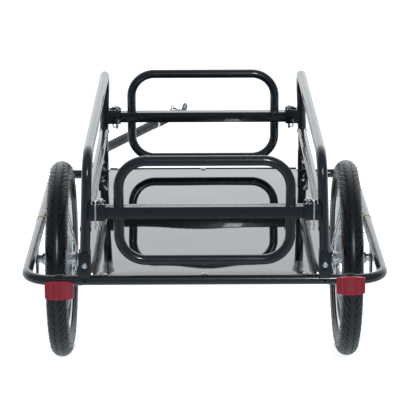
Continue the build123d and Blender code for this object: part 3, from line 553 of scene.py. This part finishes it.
def make_wheel_reflectors(side_name):
    """Two amber slabs with prisms on both faces and a clip at each end."""
    part = bmesh.new()
    body = bmesh.new()
    bmesh.ops.create_cube(body, size=MM)
    bmesh.ops.scale(body, vec=(5.0, 18.6, 57.6), verts=body.verts)
    round_edges(body, [edge for edge in body.edges if along_x(edge) > 0.9], 4.4, 5)
    round_edges(body, [edge for edge in body.edges if along_x(edge) < 0.1], 0.5)
    field = prism_field(50.0, 14.0, 25, 7, 0.5)
    clip = block((6.4, 4.0, 2.6), 0.6)
    screw = turned([(0, 2.2), (0.8, 2.0), (1.3, 1.2), (1.4, 0)], 12)
    for angle in REFLECTOR_ANGLES:
        place = (Matrix.Rotation(math.radians(angle), 4, "X")
                 @ Matrix.Translation((0, REFLECTOR_RADIUS * MM, 0)))
        add(part, body, place)
        for side in (-1, 1):
            turn = Matrix.Rotation(side * math.pi / 2, 4, "Y")
            add(part, field, place @ Matrix.Translation((side * 2.52 * MM, 0, 0)) @ turn)
            add(part, screw, place @ facing(Vector((side * 2.5, 0, 0)) * MM, (side, 0, 0)))
            add(part, clip, place @ Matrix.Translation((0, 0, side * 27 * MM)))
    return finish_on_wheel("spoke_reflectors", part, side_name, amber_lens,
                           "wheel_reflectors", sharp=20)


def make_valve(side_name):
    """Valve with threads and cap, midway between two spokes."""
    profile = [(0, 0), (0, 3.5), (1.6, 3.8), (2.4, 3.2), (2.4, 2.6)]
    for thread in range(14):
        profile += [(3.0 + thread * 0.8, 2.9), (3.4 + thread * 0.8, 2.6)]
    profile += [(14.6, 2.6), (14.8, 3.5), (15.4, 3.8), (21, 3.6), (22.6, 2.8), (23.2, 0)]
    angle = math.tau * 4.5 / SPOKE_COUNT
    inwards = Vector((0, -math.cos(angle), -math.sin(angle)))
    place = wheel_place(side_name) @ facing(-inwards * (rim_inner - 0.5) * MM, inwards)
    placed = bmesh.new()
    add(placed, turned(profile, 18), place)
    return finish_piece(f"valve_cap_{side_name}", placed, plastic, f"wheel_{side_name}")


for side_name in SIDES:
    make_tyre(side_name)
    make_rim(side_name)
    make_spokes(side_name)
    make_hub(side_name)
    make_wheel_reflectors(side_name)
    make_valve(side_name)
    paint_node(f"inner_tube_{side_name}", tube_rubber)
    paint_node(f"axle_{side_name}", zinc)


NUT_LENGTH = 8.0
NUT_SET_BACK = 10.5                  # from an axle's end to the face its nut stands on


def make_axle_nuts():
    """Flanged nuts on both ends of each axle, with threads showing beyond them."""
    part = bmesh.new()
    low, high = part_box("axle_right")
    centre = middle_of("axle_right")
    collar = turned([(0, 4.8), (0, 9.6), (1.0, 9.6), (1.8, 8.2), (1.8, 4.8), (0, 4.8)], 32)
    thread = [(0, 4.4)]
    for turn in range(4):
        thread += [(NUT_LENGTH + turn * 0.6, 4.72), (NUT_LENGTH + 0.3 + turn * 0.6, 4.3)]
    thread += [(NUT_LENGTH + 2.45, 4.1), (NUT_LENGTH + 2.45, 0)]
    stud = turned(thread, 20)
    body = hexagon(8.6, NUT_LENGTH - 1.6)
    for side in SIDES.values():
        for x, way in ((high.x - NUT_SET_BACK * MM, 1), (low.x + NUT_SET_BACK * MM, -1)):
            place = facing(Vector((side * x, centre.y, centre.z)), (side * way, 0, 0))
            add(part, collar, place)
            add(part, body, place @ Matrix.Translation((1.5 * MM, 0, 0)))
            add(part, stud, place)
    return finish_piece("axle_nuts_flanged", part, zinc, "base", ("axle_nuts",))


make_axle_nuts()


# ---------------------------------------------------------------- deck
DECK_SHEET = 1.2                     # millimetres, as the other sizes here
BRACKET_WIDTH = 22
NOTCH_GAP = 3                        # between a corner notch and its hinge bracket
NOTCH_LENGTH = 15.5                  # from the end tube's middle
DENT_DEPTH = 0.75                    # how far the sheet is pulled down beside a corner bolt
DENT_RADIUS = 42
DENT_OFFSET = 22                     # from a corner bolt towards the deck's middle
HEM_RADIUS = 1.6                     # folded front edge
ROLL_DEPTH, ROLL_LENGTH = 1.1, 26    # rounded rear edge
RIPPLE_DEPTH, RIPPLE_LENGTH = 0.16, 60   # small waves that die out behind that edge
BOLT_WASHER = 5.5


def make_deck():
    """Sheet notched round the brackets, with a hemmed front, a rolled rear and bolt dents."""
    low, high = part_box("deck")
    notch_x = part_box("hinge_brackets")[1].x - BRACKET_WIDTH * MM - NOTCH_GAP * MM
    notch_y = NOTCH_LENGTH * MM
    part = bmesh.new()
    bmesh.ops.create_grid(part, x_segments=72, y_segments=120, size=0.5)
    bmesh.ops.scale(part, vec=(high.x - low.x, high.y - low.y, 1), verts=part.verts)
    bmesh.ops.translate(part, verts=part.verts, vec=(0, (low.y + high.y) / 2, 0))
    for side in (-1, 1):
        slice_mesh(part, (side * notch_x, 0, 0), (1, 0, 0))
    for y in (rear_y + notch_y, front_y - notch_y, low.y + 2 * MM, high.y - 2 * MM):
        slice_mesh(part, (0, y, 0), (0, 1, 0))
    gone = []
    for face in part.faces:
        centre = face.calc_center_median()
        if abs(centre.x) > notch_x and not rear_y + notch_y < centre.y < front_y - notch_y:
            gone.append(face)
    bmesh.ops.delete(part, geom=gone, context="FACES")
    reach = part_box("deck_bolts")[1].x - BOLT_WASHER * MM
    dents = [(side * reach, end_y[end] - way * DENT_OFFSET * MM)
             for side in (-1, 1) for end, way in ENDS.items()]
    for vert in part.verts:
        across = 1 - (vert.co.x / high.x) ** 2
        along = (vert.co.y - rear_y) / (front_y - rear_y)
        inside = across * max(0.0, min(1.0, 4 * along)) * max(0.0, min(1.0, 4 * (1 - along)))
        wave = (0.10 * math.sin(vert.co.x * 17 + 0.6) * math.sin(vert.co.y * 11 + 1.1)
                + 0.07 * math.sin(vert.co.x * 31 + vert.co.y * 23)
                + 0.04 * math.sin(vert.co.y * 47 - vert.co.x * 13 + 2.0))
        rear_edge = (vert.co.y - low.y) / MM
        roll = ROLL_DEPTH * max(0.0, 1 - rear_edge / ROLL_LENGTH) ** 2
        ripple = (RIPPLE_DEPTH * math.sin(vert.co.x * 38 + 1.2) * math.cos(vert.co.x * 9)
                  * max(0.0, 1 - rear_edge / RIPPLE_LENGTH))
        dent = 0.0
        for x, y in dents:
            away = ((vert.co.x - x) ** 2 + (vert.co.y - y) ** 2) / (DENT_RADIUS * MM) ** 2
            dent += DENT_DEPTH * math.exp(-away)
        vert.co.z = high.z + (inside * (wave - 0.2) - roll + ripple - dent - 0.12) * MM
    bmesh.ops.recalc_face_normals(part, faces=part.faces)
    if sum(face.normal.z for face in part.faces) < 0:
        bmesh.ops.reverse_faces(part, faces=part.faces)
    bmesh.ops.solidify(part, geom=part.faces[:], thickness=DECK_SHEET * MM)
    hem_length = 2 * notch_x / MM
    hem = turned([(0, 0), (0.3, HEM_RADIUS), (hem_length - 0.3, HEM_RADIUS), (hem_length, 0)], 12)
    add(part, hem, Matrix.Translation((-notch_x, high.y - (HEM_RADIUS + 0.1) * MM, high.z)))
    return finish_piece("deck_sheet", part, deck_paint, "base", ("deck",), sharp=40)


def dome_bolt(head_radius, head_height, washer_radius, shank_radius, shank_length):
    """Domed head with a round recess on a thin washer, along X from the washer's back."""
    washer = 0.9
    profile = [(-shank_length, 0), (-shank_length, shank_radius), (0, shank_radius),
               (0, washer_radius), (0.7, washer_radius), (washer, washer_radius - 0.3)]
    for height, radius in ((0, 0.96), (0.15, 1), (0.5, 0.88), (0.8, 0.64), (1, 0.42), (0.95, 0.36),
                           (0.45, 0.33), (0.4, 0)):
        profile.append((washer + head_height * height, head_radius * radius))
    return turned(profile, 28)


def make_deck_bolts():
    part = bmesh.new()
    deck_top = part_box("deck")[1].z
    bolt = dome_bolt(5.2, 2.0, BOLT_WASHER, 2.4, 7.5)
    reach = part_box("deck_bolts")[1].x - BOLT_WASHER * MM
    for y in end_y.values():
        for x in (-reach, 0, reach):
            add(part, bolt, facing(Vector((x, y, deck_top - 0.05 * MM)), (0, 0, 1)))
    return finish_piece("deck_dome_bolts", part, zinc, "base", ("deck_bolts",))


HINGE_WASHER = 5.2
HINGE_GRIP = 12.5                    # from an end tube's middle to each face of its bracket


def make_hinge_bolts():
    """Dome head outside, lock nut inside, at each post's foot."""
    part = bmesh.new()
    hinge_z = middle_of("hinge_bolts").z
    reach_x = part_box("hinge_bolts")[1].x - HINGE_WASHER * MM
    bolt = dome_bolt(5.1, 3.0, HINGE_WASHER, 3.0, 26.0)
    nut = hexagon(5.1, 4.2)
    ring = turned([(0, 3.0), (0, 4.4), (1.0, 4.0), (1.4, 3.2), (1.2, 2.6)], 20)
    for side in SIDES.values():
        for end, way in ENDS.items():
            face = Vector((side * reach_x, end_y[end] + way * HINGE_GRIP * MM, hinge_z))
            back = Vector((side * reach_x, end_y[end] - way * HINGE_GRIP * MM, hinge_z))
            add(part, bolt, facing(face, (0, way, 0)))
            add(part, nut, facing(back, (0, -way, 0)))
            add(part, ring, facing(back - Vector((0, way * 4.1 * MM, 0)), (0, -way, 0)))
    return finish_piece("hinge_dome_bolts", part, zinc, "base", ("hinge_bolts",))


make_deck()
make_deck_bolts()
make_hinge_bolts()


# ---------------------------------------------------------------- frame tubes and plates
for node in ("base_loop", "inner_rails", "cross_tube", "mid_rail_left", "mid_rail_right",
             "side_hoop_left", "side_hoop_right"):
    paint_node(node, frame_paint)
for end in ENDS:
    for hoop in ("upper", "lower"):
        paint_node(f"{end}_gate_{hoop}_hoop", frame_paint)
    soften_node(f"{end}_crossbar", plate_paint, f"{end}_gate", 0.9)
    paint_node(f"{end}_crossbar_caps", plastic)
for node in ("outer_dropouts", "inner_dropouts", "hinge_brackets", "tow_bracket"):
    soften_node(node, plate_paint, "base", 0.45)
for side_name in SIDES:
    soften_node(f"cradles_{side_name}", plate_paint, f"side_{side_name}", 0.45)


TUBE_BEAD = 1.3                      # radius of a bead between two tubes, millimetres
GATE_BEAD = 1.2
SIDE_LEAN = math.radians(2.3)        # of the posts


def weld_ring(branch_radius, main_radius, seed, size):
    """Rippled bead round a tube end that meets another tube.

    X leaves the main tube and Z runs along it. A main radius of 0 is a flat face."""
    ring = turned([(size * math.cos(turn), branch_radius + size * math.sin(turn))
                   for turn in (math.tau * step / 8 for step in range(9))], 56)
    draw = random.Random(seed)
    phase = draw.uniform(0, math.tau)
    for vert in ring.verts:
        around = math.atan2(vert.co.z, vert.co.y)
        across = min(abs(vert.co.y) / MM, main_radius)
        ripple = 0.22 * math.sin(around * 26 + phase) + 0.12 * math.sin(around * 9 + phase)
        out = Vector((0, vert.co.y, vert.co.z)).normalized()
        vert.co += out * ripple * MM
        if main_radius:
            vert.co.x += math.sqrt(max(main_radius ** 2 - across ** 2, 0)) * MM
    return ring


def joint_frame(place, branch_way, main_way):
    """Matrix with X along the branch and Z along the main tube."""
    x_axis = Vector(branch_way).normalized()
    z_axis = Vector(main_way).normalized()
    y_axis = z_axis.cross(x_axis)
    turn = Matrix((x_axis, y_axis, z_axis)).transposed().to_4x4()
    return Matrix.Translation(place) @ turn


def make_base_welds():
    """Beads where the inner rails meet the end tubes and the cross tube."""
    part = bmesh.new()
    rail_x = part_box("inner_rails")[1].x - TUBE
    middle_y = middle_of("cross_tube").y
    seed = 0
    for side in SIDES.values():
        for end, way in ENDS.items():
            seed += 1
            place = Vector((side * rail_x, end_y[end], loop_z))
            add(part, weld_ring(TUBE_RADIUS + 0.1, TUBE_RADIUS, seed, TUBE_BEAD),
                joint_frame(place, (0, -way, 0), (1, 0, 0)))
        place = Vector((side * rail_x, middle_y, loop_z))
        add(part, weld_ring(TUBE_RADIUS + 0.1, TUBE_RADIUS, 20 + seed, TUBE_BEAD),
            joint_frame(place, (-side, 0, 0), (0, 1, 0)))
    return finish_piece("base_weld_beads", part, frame_paint, "base")


def make_side_welds(side_name):
    """Beads where the mid rail meets the two posts."""
    part = bmesh.new()
    side = SIDES[side_name]
    rail = middle_of(f"mid_rail_{side_name}")
    lean = Vector((-side * math.sin(SIDE_LEAN), 0, math.cos(SIDE_LEAN)))
    for end, way in ENDS.items():
        place = Vector((rail.x, end_y[end], rail.z))
        add(part, weld_ring(TUBE_RADIUS + 0.1, TUBE_RADIUS, 30 + way, TUBE_BEAD),
            joint_frame(place, (0, -way, 0), lean))
    return finish_piece(f"side_weld_beads_{side_name}", part, frame_paint, f"side_{side_name}")


def make_gate_welds(end):
    """Beads where the two hoops stand on the crossbar."""
    part = bmesh.new()
    low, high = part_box(f"{end}_crossbar")
    leg_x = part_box(f"{end}_gate_upper_hoop")[1].x - TUBE
    for side in SIDES.values():
        for z, way in ((low.z, -1), (high.z, 1)):
            ring = weld_ring(TUBE_RADIUS + 0.2, 0.0, 40 + side + 2 * way, GATE_BEAD)
            add(part, ring, facing(Vector((side * leg_x, end_y[end], z)), (0, 0, way)))
    return finish_piece(f"{end}_gate_weld_beads", part, frame_paint, f"{end}_gate")


make_base_welds()
for side_name in SIDES:
    make_side_welds(side_name)
for end in ENDS:
    make_gate_welds(end)


# ---------------------------------------------------------------- lock pins and bails
PIN_HEAD = 13.5                      # collar, neck and head above the shank, millimetres


def make_lock_pin(end, side_name):
    """Turned pin with a pointed shank, a grooved collar and a waisted head."""
    node = f"lock_pin_{end}_{side_name}"
    low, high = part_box(node)
    centre = middle_of(node)
    length = (high.z - low.z) / MM
    seat = length - PIN_HEAD
    profile = [(0, 0), (0, 1.7), (1.3, 2.95)]
    for height, radius in ((0, 2.95), (0, 5.4), (0.4, 5.5), (1.1, 5.5), (1.4, 4.9), (1.7, 5.5),
                           (2.6, 5.5), (3.0, 5.1), (3.0, 3.6), (4.2, 3.5), (5.0, 4.4),
                           (11.6, 4.5), (12.8, 3.9), (PIN_HEAD - 0.1, 2.6), (PIN_HEAD - 0.1, 0)):
        profile.append((seat + height, radius))
    part = bmesh.new()
    add(part, turned(profile, 28), facing(Vector((centre.x, centre.y, low.z)), (0, 0, 1)))
    return finish_piece(f"turned_pin_{end}_{side_name}", part, zinc, node, (node,))


for end in ENDS:
    for side_name in SIDES:
        make_lock_pin(end, side_name)
        paint_node(f"bail_{end}_{side_name}", zinc)


# ---------------------------------------------------------------- reflectors and bands
FACETS = 5
FACET_STEPS = (4.4, 2.0, 0.0, 0.0, 2.0, 4.4)   # how far each upright edge stands back
REFLECTOR_DEPTH = 9.0                # millimetres, as the steps
END_TAPER = 0.86                     # height of the case's ends, as a share


def make_rear_reflector(side_name):
    """Case with five upright facets, tapered at its ends, and a field of prisms on each."""
    node = f"rear_reflector_{side_name}"
    low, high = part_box(node)
    width = (high.x - low.x) / MM
    height = (high.z - low.z) / MM
    centre = Vector(((low.x + high.x) / 2, low.y, (low.z + high.z) / 2))
    case = bmesh.new()
    bmesh.ops.create_cube(case, size=MM)
    bmesh.ops.scale(case, vec=(width, REFLECTOR_DEPTH, height), verts=case.verts)
    for cut in range(1, FACETS):
        slice_mesh(case, ((cut / FACETS - 0.5) * width * MM, 0, 0), (1, 0, 0))
    for vert in case.verts:
        column = round((vert.co.x / MM / width + 0.5) * FACETS)
        vert.co.y = (REFLECTOR_DEPTH if vert.co.y > 0 else FACET_STEPS[column]) * MM
        if column in (0, FACETS):
            vert.co.z *= END_TAPER
    round_edges(case, [edge for edge in case.edges if edge.calc_face_angle() > 0.9], 0.6, 3)
    part = bmesh.new()
    add(part, case, Matrix.Translation(centre))
    prisms = bmesh.new()
    for column in range(FACETS):
        near, far = FACET_STEPS[column], FACET_STEPS[column + 1]
        along = Vector((width / FACETS, far - near, 0)).normalized()
        out = Vector((along.y, -along.x, 0))
        turn = Matrix((along, (0, 0, 1), out)).transposed().to_4x4()
        middle = Vector((((column + 0.5) / FACETS - 0.5) * width, (near + far) / 2, 0)) * MM
        margin = 5.4 if column in (0, FACETS - 1) else 3.0
        field = prism_field(width / FACETS - 2.2, height - margin, 5, 13, 0.4)
        add(prisms, field, Matrix.Translation(centre + middle + out * 0.04 * MM) @ turn)
        field.free()
    finish_piece(f"red_reflector_{side_name}", part, red_lens, "base", (node,), sharp=20)
    # The prisms carry the darker red, painted shade against the case's red.
    return finish_piece(f"red_prisms_{side_name}", prisms, red_prism_painted_shade, "base", sharp=12)


for side_name in SIDES:
    make_rear_reflector(side_name)
paint_node("reflector_clamps", plastic)
paint_node("amber_bands", amber_film)


# ---------------------------------------------------------------- tow arm and hitch
BLOCK_LENGTH = 91.0
SWIVEL_GAP = 10.0                    # from the block's end to the swivel pin's middle
RIB_COUNT = 7
RIB_PITCH = 11.0
RIB_WIDTH = 6.0
EAR_RADIUS = 8.4
EAR_REACH = 18.0
EAR_THICKNESS = 5.0
EAR_GAP = 6.2                        # from the hitch's middle plane to an ear
collar_centre = middle_of("arm_collar")
swivel_place = middle_of("swivel_pin")
hitch_way = (swivel_place - collar_centre).normalized()


def make_yoke():
    """Ribbed rubber block, with the two ears that hold the swivel pin."""
    start = swivel_place - hitch_way * (BLOCK_LENGTH + SWIVEL_GAP) * MM
    profile = [(-28, 0), (-28, 9.0), (0, 9.0), (0.2, 10.6), (3.0, 10.9)]
    for rib in range(RIB_COUNT):
        base = (rib + 0.5) * RIB_PITCH
        for share, radius in ((0.0, 10.9), (0.12, 11.8), (0.3, 12.35), (0.55, 12.35),
                              (0.75, 11.8), (0.9, 10.8), (1.2, 10.2), (1.5, 10.2)):
            profile.append((base + share * RIB_WIDTH, radius))
    profile += [(BLOCK_LENGTH - 6, 11.0), (BLOCK_LENGTH - 1, 11.0), (BLOCK_LENGTH, 10.2),
                (BLOCK_LENGTH, 0)]
    part = bmesh.new()
    add(part, turned(profile, 40), facing(start, hitch_way))
    for side in (-1, 1):
        ear = bmesh.new()
        bmesh.ops.create_circle(ear, cap_ends=True, segments=32, radius=EAR_RADIUS * MM)
        for vert in ear.verts:
            if vert.co.x < 0:
                vert.co.x -= EAR_REACH * MM
        extruded = bmesh.ops.extrude_face_region(ear, geom=ear.faces[:])
        verts = [item for item in extruded["geom"] if isinstance(item, bmesh.types.BMVert)]
        bmesh.ops.translate(ear, verts=verts, vec=(0, 0, EAR_THICKNESS * MM))
        bmesh.ops.recalc_face_normals(ear, faces=ear.faces)
        round_edges(ear, [edge for edge in ear.edges if edge.calc_face_angle() > 1.2], 0.7)
        z = (EAR_GAP if side > 0 else -EAR_GAP - EAR_THICKNESS) * MM
        add(part, ear, facing(swivel_place + Vector((0, 0, z)), hitch_way))
        ear.free()
    return finish_piece("ribbed_yoke", part, ribbed_rubber, "tow_arm", ("arm_yoke",))


def make_collar():
    """Clamp band with a shallow groove round its middle."""
    part = bmesh.new()
    band = turned([(-4.9, 11.05), (-4.9, 12.2), (-4.5, 12.5), (-1.2, 12.5), (-0.9, 12.2),
                   (0.9, 12.2), (1.2, 12.5), (4.5, 12.5), (4.9, 12.2), (4.9, 11.05),
                   (-4.9, 11.05)], 40)
    add(part, band, facing(collar_centre, hitch_way))
    return finish_piece("arm_clamp_band", part, zinc, "tow_arm", ("arm_collar",))


make_yoke()
make_collar()
paint_node("tow_arm", arm_paint)
for node in ("arm_bolt", "swivel_pin", "hitch_pin"):
    paint_node(node, zinc)
soften_node("hitch_fork", casting, "hitch_fork", 0.8)
soften_node("coupler_plate", dark_zinc, "coupler", 0.6)


# ---------------------------------------------------------------- floor, light and camera
FLOOR_REAR, FLOOR_FRONT = -1.8, 0.6  # metres along Y between which the floor's glow changes


def make_floor():
    """Pale floor whose glow, as reflections see it, is dim and bluish near the camera."""
    part = bmesh.new()
    bmesh.ops.create_grid(part, x_segments=1, y_segments=1, size=40.0)
    mesh = bpy.data.meshes.new("floor")
    part.to_mesh(mesh)
    part.free()
    floor = bpy.data.objects.new("floor", mesh)
    scene.collection.objects.link(floor)
    material = bpy.data.materials.new("pale_floor")
    material.use_nodes = True
    tree = material.node_tree
    camera_ray = tree.nodes.new("ShaderNodeLightPath").outputs["Is Camera Ray"]
    along = add_node(tree, "ShaderNodeSeparateXYZ", Vector=object_place(tree)).outputs["Y"]
    glow, red, blue = [ramp(tree, along, FLOOR_REAR, FLOOR_FRONT, near, far)
                       for near, far in ((0.17, 0.8), (0.78, 0.97), (1.16, 1.01))]
    white = add_node(tree, "ShaderNodeCombineColor", Green=1.0, Blue=blue,
                     Red=add_math(tree, "MAXIMUM", red, camera_ray))
    seen = add_math(tree, "MULTIPLY", camera_ray, 0.88)
    set_inputs(tree, tree.nodes["Principled BSDF"], {
        "Base_Color": ramp(tree, camera_ray, 0.0, 1.0, 0.12, 0.9), "Roughness": 1.0,
        "Specular_IOR_Level": 0.0, "Emission_Color": white.outputs["Color"],
        "Emission_Strength": add_math(tree, "MAXIMUM", glow, seen)})
    mesh.materials.append(material)


def make_world():
    """White room to the camera; reflections see it bright far ahead, dim and bluish behind."""
    world = bpy.data.worlds.new("studio")
    world.use_nodes = True
    tree = world.node_tree
    way = add_node(tree, "ShaderNodeSeparateXYZ",
                   Vector=tree.nodes.new("ShaderNodeTexCoord").outputs["Generated"])
    camera_ray = tree.nodes.new("ShaderNodeLightPath").outputs["Is Camera Ray"]
    ahead = ramp(tree, way.outputs["Y"], 0.2, 0.92, 0.24, 1.25)
    dim = ramp(tree, add_math(tree, "ABSOLUTE", way.outputs["X"]), 0.45, 0.95, 1.0, 0.9)
    light = add_math(tree, "MULTIPLY", ahead, dim)
    tones = [add_math(tree, "MAXIMUM", ramp(tree, way.outputs["Y"], -0.6, 0.4, behind, in_front),
                      camera_ray)
             for behind, in_front in ((0.72, 0.92), (0.94, 0.968), (1.15, 1.0))]
    colour = add_node(tree, "ShaderNodeCombineColor", Red=tones[0], Green=tones[1], Blue=tones[2])
    set_inputs(tree, tree.nodes["Background"], {
        "Color": colour.outputs["Color"],
        "Strength": add_math(tree, "MAXIMUM", light, camera_ray)})
    scene.world = world


LIGHT_PLACE = Vector((0.6, -3.6, 2.2))
LIGHT_TARGET = Vector((0.0, -0.6, 0.35))
LIGHT_WIDTH, LIGHT_HEIGHT = 0.35, 1.15
LIGHT_WATTS = 24.0


def make_light():
    """Upright softbox over the viewer's right shoulder."""
    data = bpy.data.lights.new("softbox", "AREA")
    data.shape = "RECTANGLE"
    data.size = LIGHT_WIDTH
    data.size_y = LIGHT_HEIGHT
    data.energy = LIGHT_WATTS
    light = bpy.data.objects.new("softbox", data)
    scene.collection.objects.link(light)
    turn = (LIGHT_TARGET - LIGHT_PLACE).to_track_quat("-Z", "Y").to_matrix().to_4x4()
    light.matrix_world = Matrix.Translation(LIGHT_PLACE) @ turn


CAMERA_BEHIND = 3.3373               # metres behind the rear tube
CAMERA_HEIGHT = 1.3674
CAMERA_SIDE = -0.0139
CAMERA_PITCH = 16.175                # degrees below level
CAMERA_YAW = -0.341
CAMERA_ROLL = -0.140
LENS = 164.79


def make_camera():
    data = bpy.data.cameras.new("camera")
    camera = bpy.data.objects.new("camera", data)
    scene.collection.objects.link(camera)
    data.lens = LENS
    data.sensor_width = 36.0
    data.clip_start = 0.1
    data.clip_end = 100.0
    turn = (Matrix.Rotation(math.radians(CAMERA_YAW), 4, "Z")
            @ Matrix.Rotation(math.radians(90 - CAMERA_PITCH), 4, "X")
            @ Matrix.Rotation(math.radians(CAMERA_ROLL), 4, "Z"))
    place = (CAMERA_SIDE, rear_y - CAMERA_BEHIND, CAMERA_HEIGHT)
    camera.matrix_world = Matrix.Translation(place) @ turn
    scene.camera = camera


make_floor()
make_world()
make_light()
make_camera()
scene.view_settings.view_transform = "Standard"
